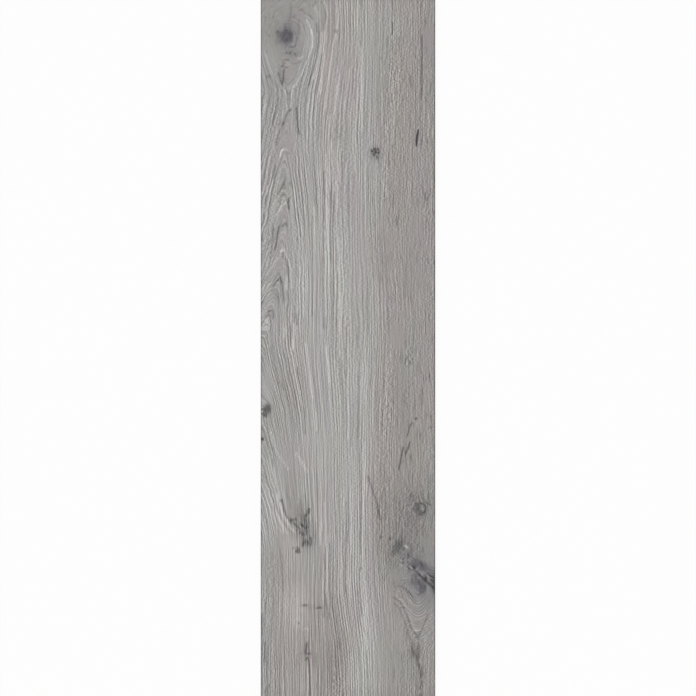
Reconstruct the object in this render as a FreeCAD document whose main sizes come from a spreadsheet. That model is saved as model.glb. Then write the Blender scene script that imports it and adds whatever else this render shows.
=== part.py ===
"""Rectified porcelain plank tile, pressed and fired as one piece.

The tile lies flat with its printed face up. The origin is the middle of its back, +Y runs along
the plank and +Z points out of the face. The face has a ground arris round all four edges. The
back is keyed for the adhesive bed: a lattice of ribs between square, drafted cells, inside a plain rim.
"""
import FreeCAD, Part
import math
import os
import Sketcher

# Driving dimensions: alias, value in millimetres or degrees, and what it sets.
SIZES = [
    ("tile_length", 1200.0, "face length of the 30 x 120 cm format"),
    ("tile_width", 300.0, "face width of the 30 x 120 cm format"),
    ("tile_thickness", 9.0, "overall thickness, from the ribs of the back to the face"),
    ("arris_leg", 0.8, "leg of the bevel ground on the edges of the face"),
    ("key_cell", 25.0, "side of one square cell, at the plane of the back"),
    ("key_rib", 4.0, "width of the rib between two cells, at the plane of the back"),
    ("key_depth", 0.5, "depth of a cell"),
    ("key_draft", 35.0, "lean of a cell's walls, which lets the tile leave the press punch"),
    ("key_rim", 6.0, "least width of the plain rim between the cells and the tile's edges"),
]
VOLUME_TOLERANCE = 1e-6  # as a share of the tile's volume


def make_sheet(doc):
    """Write the driving dimensions to a spreadsheet, one aliased cell each."""
    sheet = doc.addObject("Spreadsheet::Sheet", "Sizes")
    for row, (alias, value, meaning) in enumerate(SIZES, start=1):
        sheet.set(f"A{row}", alias)
        sheet.set(f"B{row}", str(value))
        sheet.setAlias(f"B{row}", alias)
        sheet.set(f"C{row}", meaning)
    doc.recompute()
    return sheet


def origin_feature(body, role):
    """The body's own origin plane or axis that has this role."""
    return next(feature for feature in body.Origin.OriginFeatures if feature.Role == role)


def rectangle_sketch(body, name, reach_x, reach_y, size_x, size_y):
    """A rectangle on the plane of the back. Its lower left corner lies reach_x to the left of
    the origin and reach_y below it. All four arguments are expressions."""
    sketch = body.newObject("Sketcher::SketchObject", name)
    sketch.AttachmentSupport = (origin_feature(body, "XY_Plane"), "")
    sketch.MapMode = "FlatFace"
    corners = [
        FreeCAD.Vector(-1, -1, 0),
        FreeCAD.Vector(1, -1, 0),
        FreeCAD.Vector(1, 1, 0),
        FreeCAD.Vector(-1, 1, 0),
    ]
    sides = [Part.LineSegment(a, b) for a, b in zip(corners, corners[1:] + corners[:1])]
    bottom, right, top, left = sketch.addGeometry(sides, False)
    start, end, origin = 1, 2, (-1, 1)
    for side, following in ((bottom, right), (right, top), (top, left), (left, bottom)):
        sketch.addConstraint(Sketcher.Constraint("Coincident", side, end, following, start))
    for side in (bottom, top):
        sketch.addConstraint(Sketcher.Constraint("Horizontal", side))
    for side in (left, right):
        sketch.addConstraint(Sketcher.Constraint("Vertical", side))
    bound = [
        ("reach_x", Sketcher.Constraint("DistanceX", bottom, start, *origin, 1.0), reach_x),
        ("reach_y", Sketcher.Constraint("DistanceY", bottom, start, *origin, 1.0), reach_y),
        ("size_x", Sketcher.Constraint("DistanceX", bottom, start, bottom, end, 2.0), size_x),
        ("size_y", Sketcher.Constraint("DistanceY", right, start, right, end, 2.0), size_y),
    ]
    for constraint_name, constraint, expression in bound:
        sketch.renameConstraint(sketch.addConstraint(constraint), constraint_name)
        sketch.setExpression(f"Constraints.{constraint_name}", expression)
    return sketch


def face_edges(feature, height):
    """Names of the edges that lie wholly at this height, which is the printed face's outline."""
    return [
        f"Edge{number}"
        for number, edge in enumerate(feature.Shape.Edges, start=1)
        if all(abs(vertex.Z - height) < 1e-6 for vertex in edge.Vertexes)
    ]


def add_slab(body):
    """The plain slab, centred on the origin, with its back on the ground plane."""
    outline = rectangle_sketch(
        body,
        "TileOutline",
        "Sizes.tile_width / 2",
        "Sizes.tile_length / 2",
        "Sizes.tile_width",
        "Sizes.tile_length",
    )
    slab = body.newObject("PartDesign::Pad", "Slab")
    slab.Profile = outline
    slab.setExpression("Length", "Sizes.tile_thickness")
    body.Document.recompute()
    return slab


def add_arris(body, slab, sheet):
    """The bevel that the grinding wheels leave on the four edges of the face."""
    arris = body.newObject("PartDesign::Chamfer", "Arris")
    arris.Base = (slab, face_edges(slab, sheet.tile_thickness))
    arris.setExpression("Size", "Sizes.arris_leg")
    body.Document.recompute()
    return arris


def add_keyed_back(body):
    """One drafted cell at the lower left of the back, repeated both ways. The cells keep their
    size, as many fit as the rim allows, and the field of cells is centred on the tile."""
    pitch = "(Sizes.key_cell + Sizes.key_rib)"
    columns = f"floor((Sizes.tile_width - 2 * Sizes.key_rim + Sizes.key_rib) / {pitch})"
    rows = f"floor((Sizes.tile_length - 2 * Sizes.key_rim + Sizes.key_rib) / {pitch})"
    mouth = rectangle_sketch(
        body,
        "CellMouth",
        f"({columns} * {pitch} - Sizes.key_rib) / 2",
        f"({rows} * {pitch} - Sizes.key_rib) / 2",
        "Sizes.key_cell",
        "Sizes.key_cell",
    )
    cell = body.newObject("PartDesign::Pocket", "Cell")
    cell.Profile = mouth
    cell.Reversed = True  # up into the slab
    cell.setExpression("Length", "Sizes.key_depth")
    cell.setExpression("TaperAngle", "-Sizes.key_draft")
    body.Document.recompute()

    cells = body.newObject("PartDesign::LinearPattern", "Cells")
    cells.Originals = [cell]
    cells.Refine = False  # no two cells share a face, so there is nothing to merge
    cells.Direction = (origin_feature(body, "X_Axis"), [""])
    cells.setExpression("Occurrences", columns)
    cells.setExpression("Length", f"({columns} - 1) * {pitch}")
    cells.Direction2 = (origin_feature(body, "Y_Axis"), [""])
    cells.setExpression("Occurrences2", rows)
    cells.setExpression("Length2", f"({rows} - 1) * {pitch}")
    body.Tip = cells
    body.Document.recompute()
    return cells


def expected_volume(sheet, cell_count):
    """Volume of the slab less its arris and its cells, worked out from the sizes alone."""
    slab = sheet.tile_length * sheet.tile_width * sheet.tile_thickness
    leg = sheet.arris_leg
    arris = leg**2 / 2 * 2 * (sheet.tile_length + sheet.tile_width) - 4 * leg**3 / 3
    mouth = sheet.key_cell
    floor = mouth - 2 * sheet.key_depth * math.tan(math.radians(sheet.key_draft))
    cell = sheet.key_depth * (mouth**2 + mouth * floor + floor**2) / 3
    return slab - arris - cell_count * cell


def check(doc, body, sheet, cells):
    """Stop if a feature failed, or if the tile isn't one valid solid of the expected volume."""
    for item in doc.Objects:
        if "Invalid" in item.State or "Error" in item.State:
            raise RuntimeError(f"{item.Label} failed: {item.State}")
    shape = body.Shape
    if shape.isNull() or not shape.isValid() or len(shape.Solids) != 1:
        raise RuntimeError(f"{body.Label} isn't one valid solid")
    expected = expected_volume(sheet, cells.Occurrences * cells.Occurrences2)
    if abs(shape.Volume - expected) > VOLUME_TOLERANCE * expected:
        raise RuntimeError(f"volume is {shape.Volume:.1f} mm3 and should be {expected:.1f} mm3")


def main():
    doc = FreeCAD.newDocument("PlankTile")
    sheet = make_sheet(doc)
    body = doc.addObject("PartDesign::Body", "PlankTile")
    body.Label = "plank_tile"
    slab = add_slab(body)
    add_arris(body, slab, sheet)
    cells = add_keyed_back(body)
    check(doc, body, sheet, cells)

    os.makedirs("parts", exist_ok=True)
    body.Shape.exportStep(f"parts/{body.Label}.step")
    print(
        f"{body.Label}: {cells.Occurrences} x {cells.Occurrences2} cells, "
        f"{body.Shape.Volume / 1000:.1f} cm3, box {body.Shape.BoundBox}"
    )


main()
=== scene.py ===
# Looks of a wood look porcelain plank tile: a pressed body with a grey oak print under a matt glaze,
# ground edges and a keyed back. Shapes are worked out in millimetres and stored in metres.
import math
import bpy
import numpy as np
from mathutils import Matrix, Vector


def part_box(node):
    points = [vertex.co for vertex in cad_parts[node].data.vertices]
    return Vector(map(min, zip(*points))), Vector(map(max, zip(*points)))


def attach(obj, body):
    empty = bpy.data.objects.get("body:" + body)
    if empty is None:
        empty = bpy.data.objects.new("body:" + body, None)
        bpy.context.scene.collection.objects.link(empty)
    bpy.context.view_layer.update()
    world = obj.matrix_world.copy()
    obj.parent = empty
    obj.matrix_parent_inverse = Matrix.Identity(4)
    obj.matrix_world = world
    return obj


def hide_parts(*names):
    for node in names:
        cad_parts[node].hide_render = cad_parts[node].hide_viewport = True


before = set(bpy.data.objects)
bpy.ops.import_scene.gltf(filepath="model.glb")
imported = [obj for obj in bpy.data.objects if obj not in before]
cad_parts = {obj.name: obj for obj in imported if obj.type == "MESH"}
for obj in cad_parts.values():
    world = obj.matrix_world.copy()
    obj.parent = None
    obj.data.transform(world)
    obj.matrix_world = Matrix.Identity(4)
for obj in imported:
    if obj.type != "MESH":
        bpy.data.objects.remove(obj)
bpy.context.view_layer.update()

scene = bpy.context.scene
mm = 0.001

low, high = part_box("plank_tile")
tileWidth = (high.x - low.x) / mm
tileLength = (high.y - low.y) / mm
tileTop = high.z / mm

# Columns of the photograph that the tile's long edges lie on. Its face fills all rows, and every
# mark of the print is placed by column and row.
photo = {"left": 261, "right": 435}
mmPerPixel = tileWidth / (photo["right"] - photo["left"])
fullLevel = 255  # white, in the levels that tones are given in

# first seed of each random field; its further layers take the next ones
seeds = {
    "wobble": 11, "arches": 16, "rings": 21, "frayAcross": 31, "frayAlong": 33, "mottle": 35,
    "warmth": 41, "blush": 43, "ripple": 51, "patch": 61,
}


def columnOf(x):
    # photo column of a place across the tile, in mm
    return photo["left"] + (x + tileWidth / 2) / mmPerPixel


def rowOf(y):
    # photo row of a place along the tile, in mm
    return (tileLength / 2 - y) / mmPerPixel


def smoothStep(start, end, value):
    # share t of the way from start to end, eased as 3t² - 2t³
    t = np.clip((value - start) / (end - start), 0, 1)
    return t * t * (3 - 2 * t)


def smoothMax(a, b, blend):
    # the greater of two fields, rounded where they cross: half of their sum plus √(difference² + blend²)
    return (a + b + np.sqrt((a - b) ** 2 + blend**2)) / 2


def valueNoise(across, along, seed):
    # random heights from -1 to 1 on a grid of unit cells, joined by 3t² - 2t³ both ways
    size = 256
    table = np.random.default_rng(seed).uniform(-1, 1, (size, size))
    i, j = np.floor(across).astype(int), np.floor(along).astype(int)
    s, t = smoothStep(0, 1, across - i), smoothStep(0, 1, along - j)
    i0, i1, j0, j1 = i % size, (i + 1) % size, j % size, (j + 1) % size
    near = table[i0, j0] * (1 - s) + table[i1, j0] * s
    far = table[i0, j1] * (1 - s) + table[i1, j1] * s
    return near * (1 - t) + far * t


def noiseSum(layers, across, along, seed):
    # several layers of noise on top of each other, each with its own cell and amount
    return sum(
        amount * valueNoise(across / cellAcross, along / cellAlong, seed + step)
        for step, (cellAcross, cellAlong, amount) in enumerate(layers)
    )


def spotShare(px, py, column, row, halfWidth, halfHeight, lean=0.0, power=3):
    # exp(-r to a power) of a stretched and leaning distance r from a spot's middle
    dx, dy = px - column, py - row
    return np.exp(-((((dx - lean * dy) / halfWidth) ** 2 + (dy / halfHeight) ** 2) ** (power / 2)))


# Run of the grain, in photo pixels. The grain level is constant along every line of the wood.
grain = {
    "origin": 230,  # column where the level is zero, left of the tile
    # arches on the left: level along their crest, how fast it falls down the plank, and the fall
    # of the level from the crest to the left
    "crestLevel": 122,
    "crestFall": 0.15,
    "crestTurn": (270, 0.3, 15),  # row where the crest swings left, added fall, blend
    "crestSide": 0.6,
    "crestFan": (280, 0.004),  # column from which the fall to the left steepens, and how fast
    "crestBlend": 6,
    # stretches where the lines lean right, or left if negative: rows, amount, and the columns over
    # which the lean dies out
    "slides": (
        (0, 150, -12, 322, 372),
        (90, 290, 14, 300, 335),
        (330, 450, 13, 305, 372),
        (330, 470, 10, 272, 300),
        (420, 560, 26, 272, 332),
    ),
    "bend": (580, 665, 8, 347, 32),  # rows, amount, middle column and half width
    "wobble": ((48, 110, 2.4), (15, 46, 0.9), (7, 22, 0.6), (5, 9, 0.25)),  # cell across, along, amount
    "archWobble": ((6, 10, 0.6), (3.5, 5, 0.3)),
    "archEnds": (286, 306),  # columns over which that dies out
    # knots: place, stretch of the rings up and down, power of the distance below (2 is round, 1 a
    # point), drop of the level at the heart, its slope away from there, blend into the plain grain
    "knots": (
        {"at": (287, 40), "up": 1.25, "down": 2.5, "power": 1.4, "drop": 29, "slope": 1.15, "blend": 8},
        {"at": (418, 588), "up": 0.5, "down": 1.45, "power": 1.5, "drop": 44, "slope": 1.25, "blend": 6},
        {"at": (265, 411), "up": 2.2, "down": 2.6, "power": 2.0, "drop": 5, "slope": 1.6, "blend": 4},
        {"at": (421, 509), "up": 1.6, "down": 1.8, "power": 2.0, "drop": 8, "slope": 1.5, "blend": 4},
    ),
    "mostSpread": 0.75,  # most that lines far apart can take over from the plain ones
    "tight": (1.15, 2.0),  # steepness of the level from which, and by which, coarser lines take over
    # regular waves in the lines below a knot: which knot, spacing, level, then the middle and the half
    # width and half height of the place that has them
    "ripples": ((0, 5.6, 4, 301, 42, 8, 26), (1, 2.3, 24, 417, 608, 12, 14)),
    "rippleWaver": (0.3, 7),  # share of the spacing by which the waves stray, and the cell of that
}


def plainGrain(px, py):
    # Two slanted planes: on the right the level is the column itself, on the left it climbs away
    # from a crest line, and the greater of the two draws arches. Slides and a bend shift the column.
    turnRow, turnFall, turnBlend = grain["crestTurn"]
    fanColumn, fanRate = grain["crestFan"]
    shift = np.zeros_like(px)
    for start, end, amount, fadeStart, fadeEnd in grain["slides"]:
        shift += amount * smoothStep(start, end, py) * (1 - smoothStep(fadeStart, fadeEnd, px))
    start, end, amount, middle, halfWidth = grain["bend"]
    shift += amount * smoothStep(start, end, py) * np.exp(-(((px - middle) / halfWidth) ** 2))
    right = px - shift - grain["origin"]
    crest = grain["crestLevel"] - grain["crestFall"] * py - turnFall * smoothMax(py - turnRow, 0, turnBlend)
    left = crest - grain["crestSide"] * (px - grain["origin"])
    left += fanRate * np.clip(fanColumn - px, 0, None) ** 2
    return smoothMax(right, left, grain["crestBlend"])


def knotReach(knot, px, py):
    # distance from a knot's heart: stretched upwards as an ellipse, downwards to a blunt point
    dx, dy = np.abs(px - knot["at"][0]), py - knot["at"][1]
    power = knot["power"]
    below = (dx**power + np.abs(dy / knot["down"]) ** power) ** (1 / power)
    return np.where(dy > 0, below, np.hypot(dx, dy / knot["up"]))


def grainLevel(px, py):
    # The plain grain with every knot joined in: a knot is a cone over a stretched distance, and the
    # lines run round it because the field takes the lower of the two.
    level = plainGrain(px, py) + noiseSum(grain["wobble"], px, py, seeds["wobble"])
    jagged = noiseSum(grain["archWobble"], px, py, seeds["arches"])
    level += jagged * (1 - smoothStep(*grain["archEnds"], px))
    for knot in grain["knots"]:
        heart = plainGrain(*np.array(knot["at"], float)[:, None])
        cone = heart - knot["drop"] + knot["slope"] * knotReach(knot, px, py)
        level = -smoothMax(-level, -cone, knot["blend"])
    return level


def grainSteepness(px, py):
    # change of the level over a pixel: 1 on plain wood, less where the lines lie far apart
    half = 0.5
    across = grainLevel(px + half, py) - grainLevel(px - half, py)
    along = grainLevel(px, py + half) - grainLevel(px, py - half)
    return np.hypot(across, along)


def knotRipples(px, py):
    # sine of a knot's distance, a little uneven, inside a soft spot
    waver, cell = grain["rippleWaver"]
    stray = waver * valueNoise(px / cell, py / cell, seeds["ripple"])
    tone = np.zeros_like(px)
    for number, spacing, level, *spot in grain["ripples"]:
        reach = knotReach(grain["knots"][number], px, py) + spacing * stray
        tone += level * spotShare(px, py, *spot) * np.sin(2 * np.pi * reach / spacing)
    return tone


# Marks of the print that stand out, in photo pixels and in levels.
# A stain is a column, row, half width, half height, lean, level and warmth.
# A stroke is a half width, a level and the column and row of each point.
marks = {
    "upperLeftKnot": {
        "stains": (
            (276, 22, 24, 28, 0.0, -11, 0),
            (289, 40, 15, 18, 0.0, -9, -2),
            (296, 50, 16, 42, 0.0, -6, -1),
            (286, 37, 10, 10, 0.0, -12, -2),
            (287.2, 37.6, 6.8, 7.0, 0.0, -46, -7),
            (286, 28, 3.2, 6.0, 0.0, -18, -5),
            (290, 24, 2.4, 9.0, 0.0, -20, -2),
            (291.2, 11, 1.0, 6.0, 0.0, -20, 0),
            (281, 42.5, 5.0, 3.0, -0.6, -14, -1),
            (280, 35, 5.0, 5.0, 0.0, -9, -2),
            (278, 32.7, 1.7, 1.4, 0.0, -42, 0),
            (291, 54, 9, 6, 0.0, -11, 0),
            (282, 78, 6, 11, 0.0, -10, 0),
            (269, 77, 2.2, 1.8, 0.0, -30, 0),
            (336, 32, 1.8, 2.2, 0.0, -40, 0),
            (307, 36, 5, 18, 0.0, 8, -2),
        ),
        "strokes": (
            # bright right side, the lines of the hood above it and those that flow past
            (0.65, 26, ((305.5, 19.6), (309, 25), (311.5, 30), (312.8, 37))),
            (0.7, 42, ((311, 29), (312.8, 37), (312.8, 44), (311.4, 51))),
            (0.65, 26, ((312, 48), (311.4, 51), (308, 60))),
            (0.65, 26, ((308, 59), (303.5, 71), (296, 85.5), (291, 89))),
            (0.7, 16, ((304.5, 14.4), (307.5, 16.6), (310.8, 19.8), (313.2, 24.4), (314.6, 30))),
            (0.8, -24, ((297, 9), (302, 11), (306, 14.5), (310.4, 17.6), (314, 22))),
            (1.0, -32, ((315.6, 22), (317, 28), (317.2, 35))),
            (0.8, -16, ((317, 36), (316.4, 48), (313.6, 58))),
            (0.8, 16, ((311.4, 6.6), (315.6, 9.6), (317.8, 13.6), (318.6, 20))),
            (0.7, -22, ((308.4, 6.4), (311.8, 5), (314.8, 7.4))),
            (0.8, -30, ((314.4, 1), (316.4, 5))),
            (0.8, 32, ((322.5, 0), (326, 7), (327.5, 14.5), (326, 28), (324.7, 44.5), (322, 70), (320, 96))),
            (0.8, -26, ((320.4, 0), (325, 8), (325.6, 18), (324.2, 32))),
            (0.8, 28, ((321.6, 31), (321.4, 42), (320.4, 51), (317.6, 64), (313.6, 82))),
            (0.8, -26, ((319.4, 30), (319.2, 42), (317.6, 56), (313, 72), (308, 88))),
            (0.8, -22, ((322.8, 52), (320, 72), (316, 96))),
            (0.8, 20, ((339.7, 0), (339, 11), (337.5, 28), (332.5, 48), (329, 76), (326, 110))),
            # rings beside the heart and the curls under it
            (0.7, -14, ((298.8, 19), (299.1, 29), (298.7, 36), (297.4, 44))),
            (0.7, 9, ((301, 22), (302, 33), (300.6, 43))),
            (0.7, -9, ((303.8, 24), (305, 36), (303, 48))),
            (0.7, 12, ((294.6, 35), (294.8, 42))),
            (0.6, 30, ((284.3, 38.4), (287.9, 38.4))),
            (0.7, -26, ((288, 47.4), (293.4, 48), (296, 45.4), (297.6, 43.8))),
            (0.8, 22, ((292.4, 45.2), (294.8, 45.2))),
            (0.7, -34, ((286.6, 52), (287.2, 55.4))),
            (0.7, -34, ((288.6, 55.6), (290.4, 52.8), (291.2, 55.4))),
            (0.7, -30, ((294.6, 52), (295.4, 55.6), (297, 58))),
            (0.7, 20, ((296, 57.6), (299, 59.6), (303, 57.4), (304.4, 55))),
            (0.7, -22, ((281, 60.6), (286, 60), (291, 60.8))),
            (0.8, -17, ((290, 64.5), (297, 64.2), (302.5, 60.5))),
            (0.7, -32, ((282, 62), (285, 64.2), (281.6, 66.8), (286, 68), (290, 68.4))),
            # cracks below, left leg and specks
            (0.8, -42, ((284.3, 69), (283.6, 77), (282, 86))),
            (0.8, -32, ((277.6, 71), (280.4, 79), (283, 88.6))),
            (0.7, -30, ((284.6, 86), (286.4, 90), (287.8, 95.5))),
            (0.65, 16, ((264, 50), (267.5, 61), (272, 72), (279, 84.5), (287.5, 94.5))),
            (0.7, -10, ((263, 57), (270, 76), (277, 88))),
            (0.7, -30, ((274, 16), (273, 20))),
            (0.6, 18, ((272.2, 16.4), (272.4, 18.6))),
            (0.7, -26, ((265.5, 16), (265.5, 20))),
            (0.7, -20, ((269, 34), (269.8, 39))),
            (0.7, -26, ((293.4, 18.8), (294.8, 15.8))),
            (0.7, -20, ((265, 51), (267.6, 54))),
        ),
    },
    "arches": {
        "stains": (
            (277.5, 297, 3, 5, 0.0, -14, 0),
            (266, 326, 5, 7, 0.0, 8, -3),
        ),
        "strokes": (
            # narrow top under the knot
            (0.8, -26, ((276.6, 104), (274.6, 115), (272.6, 127))),
            (0.9, -56, ((289, 112.6), (290.4, 110), (291, 112.4))),
            (0.9, -30, ((288.4, 112), (284.4, 121), (281, 129), (278, 138), (275.6, 147))),
            (1.0, -34, ((284.6, 122), (282.4, 126.4))),
            (0.9, -44, ((296.6, 106), (296.8, 118), (298, 128), (299.6, 137))),
            (0.9, 26, ((287.4, 137), (284.4, 137.6), (283.4, 140))),
            (0.8, 32, ((283.4, 148), (281.4, 152), (279.8, 159))),
            (0.7, -24, ((284, 146.4), (286.4, 147.4))),
            (0.7, -24, ((285.4, 153), (288.4, 153.6), (291, 154.6))),
            (0.8, -32, ((276.8, 164), (275, 172), (272.8, 181))),
            # second arch and the squiggles in it
            (0.8, -36, ((285.6, 177), (284.6, 181), (284, 184.6), (280.6, 190.6), (277, 196.4))),
            (0.7, -26, ((286.4, 186.4), (283.6, 188.6), (284.4, 191.6))),
            (0.7, -26, ((287.4, 184), (289.4, 182.4), (290.4, 186), (287.6, 188))),
            (0.8, 18, ((288.4, 185.4), (290.6, 188.6))),
            (0.9, -46, ((289.4, 196.4), (288.6, 204), (289, 212))),
            (0.8, 34, ((293.4, 188), (294.8, 198), (296.6, 209))),
            (0.8, 30, ((288.6, 203.6), (285, 204), (281, 207), (278.6, 212), (275, 217.6))),
            (0.7, 24, ((267.4, 184), (266.8, 196))),
            (0.7, 22, ((266.4, 204), (262.8, 216))),
            (0.8, -24, ((269, 218), (271.4, 220.6))),
            (0.8, 22, ((269.4, 220), (271.4, 217.6))),
            (1.0, -34, ((281.4, 229), (283.4, 225), (286.4, 223.4), (287.6, 228))),
            (0.9, -42, ((279, 225), (277.4, 238), (275, 252))),
            (0.8, -30, ((274, 226), (272.4, 244), (269.6, 260))),
            (0.8, 22, ((271.6, 240), (269.6, 256), (265.6, 268))),
            # third arch, with two more inside it
            (0.8, 32, ((280.4, 254.4), (283, 248.4), (286, 254))),
            (0.7, 24, ((285, 252), (289, 260.6), (291.2, 270), (291.4, 290))),
            (0.9, -38, ((283, 251), (283, 260))),
            (0.8, -28, ((286, 256), (288.2, 268), (289.2, 284))),
            (0.9, 28, ((286.6, 274), (287, 292))),
            (0.8, 20, ((279, 256), (272, 267), (264, 278))),
            (0.8, -40, ((272, 288), (276.6, 281.6), (280.4, 277.4), (282, 284))),
            (0.8, -36, ((281, 280), (282, 284), (283.4, 293), (284, 304))),
            (0.8, 22, ((274, 281), (269, 285.6), (262.4, 296))),
            (0.8, 20, ((272, 291), (266, 297.6), (263, 302.6))),
            (0.9, -38, ((266.6, 313.4), (270, 310), (273.4, 310.6), (274, 320))),
            (0.9, 32, ((262.6, 321.4), (266, 319.6), (270, 320))),
            (0.8, -42, ((297, 311), (296.6, 327))),
            (0.8, 30, ((294, 322), (293.6, 350))),
            (0.8, -30, ((291, 324), (291, 348))),
            (0.8, 26, ((285, 326), (284.4, 340))),
        ),
    },
    "leaningLines": {
        "stains": (),
        "strokes": (
            (0.8, -32, ((296.8, 366), (301.8, 395), (304.7, 413), (305.7, 436))),
            (0.7, 28, ((291.6, 340), (292.6, 352), (295.4, 372), (299.7, 390), (303.5, 408))),
            (0.8, 30, ((305.6, 342), (309.4, 368), (312.8, 400))),
            (0.9, 26, ((325.4, 344), (328, 362), (330.4, 384))),
            (0.8, -22, ((271, 345), (273.6, 363), (278.6, 381), (286, 392))),
            (0.8, -14, ((266.5, 418), (269, 434), (273.5, 448), (278, 460))),
            (0.8, 18, ((271, 430), (277.6, 453), (290, 471))),
            (0.8, 26, ((295, 451), (302.6, 463), (308.4, 473))),
            (0.8, 20, ((316, 410), (316.8, 432))),
        ),
    },
    "middleLines": {
        "stains": (),
        "strokes": (
            # near the top
            (0.9, 20, ((361, 46), (361.4, 88), (361, 132))),
            (0.9, 16, ((354, 98), (353, 140), (354.5, 174))),
            (0.9, 18, ((330, 114), (328.4, 130), (327.6, 150), (327.4, 172))),
            # dark and bright lines side by side, down the upper half
            (0.7, -22, ((312.6, 215), (312.4, 260), (312.4, 318))),
            (0.7, 18, ((314.4, 205), (314.2, 250), (314.2, 312))),
            (0.7, -32, ((323.4, 170), (323.6, 200), (323.6, 260), (323.4, 300), (323.8, 330))),
            (0.7, 24, ((326.4, 196), (325.8, 230), (325.6, 270), (325.6, 318))),
            (0.7, 28, ((327.6, 168), (328.4, 200), (328.6, 240), (328.6, 275))),
            (0.7, -24, ((330.8, 190), (331, 230), (331.2, 262))),
            (0.7, -12, ((334.2, 200), (334.2, 250), (334, 300), (334.4, 360))),
            (0.8, 24, ((339.6, 140), (339.4, 170), (338.8, 210), (338.8, 250), (340, 300), (339.6, 360))),
            (0.7, 24, ((330.6, 140), (330.6, 188))),
            (0.7, 26, ((334.4, 140), (334.4, 194))),
            (0.7, 20, ((304.4, 262), (304.4, 318))),
            (0.7, 16, ((336.4, 262), (336.4, 318))),
            (0.7, 16, ((344.4, 262), (344.4, 318))),
            (0.7, -30, ((346.6, 325), (346.6, 378))),
            (0.7, 16, ((348.4, 325), (348.2, 378))),
            (0.8, 16, ((348.4, 325), (348.2, 380), (347.6, 440))),
            (0.7, -12, ((357.4, 325), (357.4, 380), (357.4, 440))),
            (0.8, 18, ((365, 330), (365.4, 380), (365.6, 440), (365.4, 498))),
            # the same below the middle
            (0.7, -28, ((360.4, 440), (360.5, 500), (360.5, 556))),
            (0.7, 26, ((362.6, 440), (362.6, 500), (362.6, 558))),
            (0.7, 20, ((351.6, 445), (351.6, 500), (351.6, 556))),
            (0.7, -16, ((346.6, 500), (346.4, 556))),
            (0.7, 20, ((324.4, 500), (324.6, 556))),
            # lines that bend to the right near the foot, and straight ones round them
            (0.7, -34, ((330.4, 590), (331.8, 603), (334.4, 616), (336.6, 628), (338.8, 641), (340, 650))),
            (0.7, -22, ((323.4, 588), (326, 600), (328.4, 612), (330.4, 620))),
            (0.7, 15, ((328.2, 532), (327.4, 562), (327.8, 588), (331.6, 610), (336.4, 632), (338.4, 641))),
            (0.7, -18, ((316, 520), (316.2, 546))),
            (0.7, 16, ((320.4, 520), (320.4, 546))),
            (0.7, -16, ((344.4, 520), (344.6, 546))),
            (0.6, -20, ((325.4, 545), (325.2, 572))),
            (0.6, -24, ((329.8, 540), (329.4, 592))),
            (0.7, 18, ((340.4, 540), (340.6, 595))),
            (0.6, -20, ((345.4, 546), (345.4, 595))),
            (0.7, 16, ((350.8, 572), (350.6, 598))),
            (0.7, -22, ((359.8, 565), (360.4, 596), (361.4, 618))),
            (0.7, -22, ((323.6, 598), (323.6, 618))),
            (0.7, -16, ((316.6, 650), (316.6, 690))),
            (0.7, 14, ((342.4, 650), (342.6, 690))),
            (0.7, 14, ((351.4, 650), (351.6, 690))),
            (0.7, -18, ((365.4, 650), (365.4, 690))),
            # bright line past the lower right knot, and the check above that knot
            (0.9, 20, ((361, 568), (362.4, 593), (364.7, 611), (366, 630), (367, 650))),
            (0.8, -38, ((367.5, 474), (371.3, 486), (376.6, 501), (379.6, 516), (382, 522))),
        ),
    },
    "smallKnots": {
        "stains": (
            (375.5, 153, 6.0, 7.0, 0.0, -30, 0),
            (417, 139, 4, 11, 0.0, -9, 0),
            (267, 409.4, 4.0, 5.4, -0.2, -74, 0),
            (265.8, 415.4, 2.4, 2.6, 0.0, -40, 0),
            (268, 410, 6, 8, 0.0, -12, 1),
            (262, 438.8, 2.0, 1.8, 0.0, -120, 0),
            (270, 452, 4, 14, 0.3, -6, 0),
            (273.5, 461, 1.6, 1.6, 0.0, -30, 0),
            (415.8, 418.3, 1.6, 1.5, 0.0, -66, 0),
            (415, 422, 5, 8, 0.0, 6, 0),
            (411.5, 424.5, 4, 3, 0.0, -10, 0),
            (430.2, 427, 1.4, 1.6, 0.0, -44, 0),
            (380.6, 536.4, 2.4, 1.2, 0.0, -36, 0),
            (385, 536, 8, 6, 0.0, 7, 0),
            (390.2, 538.2, 1.6, 1.5, 0.0, -54, 0),
        ),
        "strokes": (
            # round knot right of the middle
            (0.8, -96, ((371.2, 149.8), (373.2, 153))),
            (0.8, -92, ((373.8, 147.8), (375.6, 151))),
            (0.8, -78, ((377.2, 148), (378.6, 151.4))),
            (0.8, -116, ((374.4, 151.2), (376.8, 154))),
            (0.8, -82, ((372.8, 153.6), (375.2, 156.8))),
            (0.8, -76, ((376.8, 154), (379.6, 152))),
            (0.7, -62, ((376.6, 155.6), (377.8, 160))),
            # checks and squiggles along the right side
            (0.8, -116, ((418.2, 129), (416.8, 138), (416, 148))),
            (0.8, -16, ((421, 104), (419.4, 118), (418, 128))),
            (0.5, -62, ((421.6, 34), (421.4, 70), (420.9, 102))),
            (0.6, -52, ((392, 21), (392.4, 29), (391.6, 37))),
            (0.8, -22, ((411, 74), (411.4, 90))),
            (0.8, -20, ((420, 184), (424.7, 197), (427, 200), (430, 194), (431, 186))),
            (0.8, -16, ((406, 262), (405.6, 300))),
            (0.7, -54, ((404.4, 444.6), (402, 452), (400.6, 459), (399.6, 466), (398.4, 472))),
            (0.7, -58, ((410.2, 440), (409, 444.5), (406.6, 451), (404.6, 456))),
            (0.7, -42, ((413.6, 421), (409.8, 425.4), (408.6, 431.5), (406.6, 437.5))),
            (0.7, -30, ((403.6, 365), (406, 361), (405, 358), (408.6, 356.4))),
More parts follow.
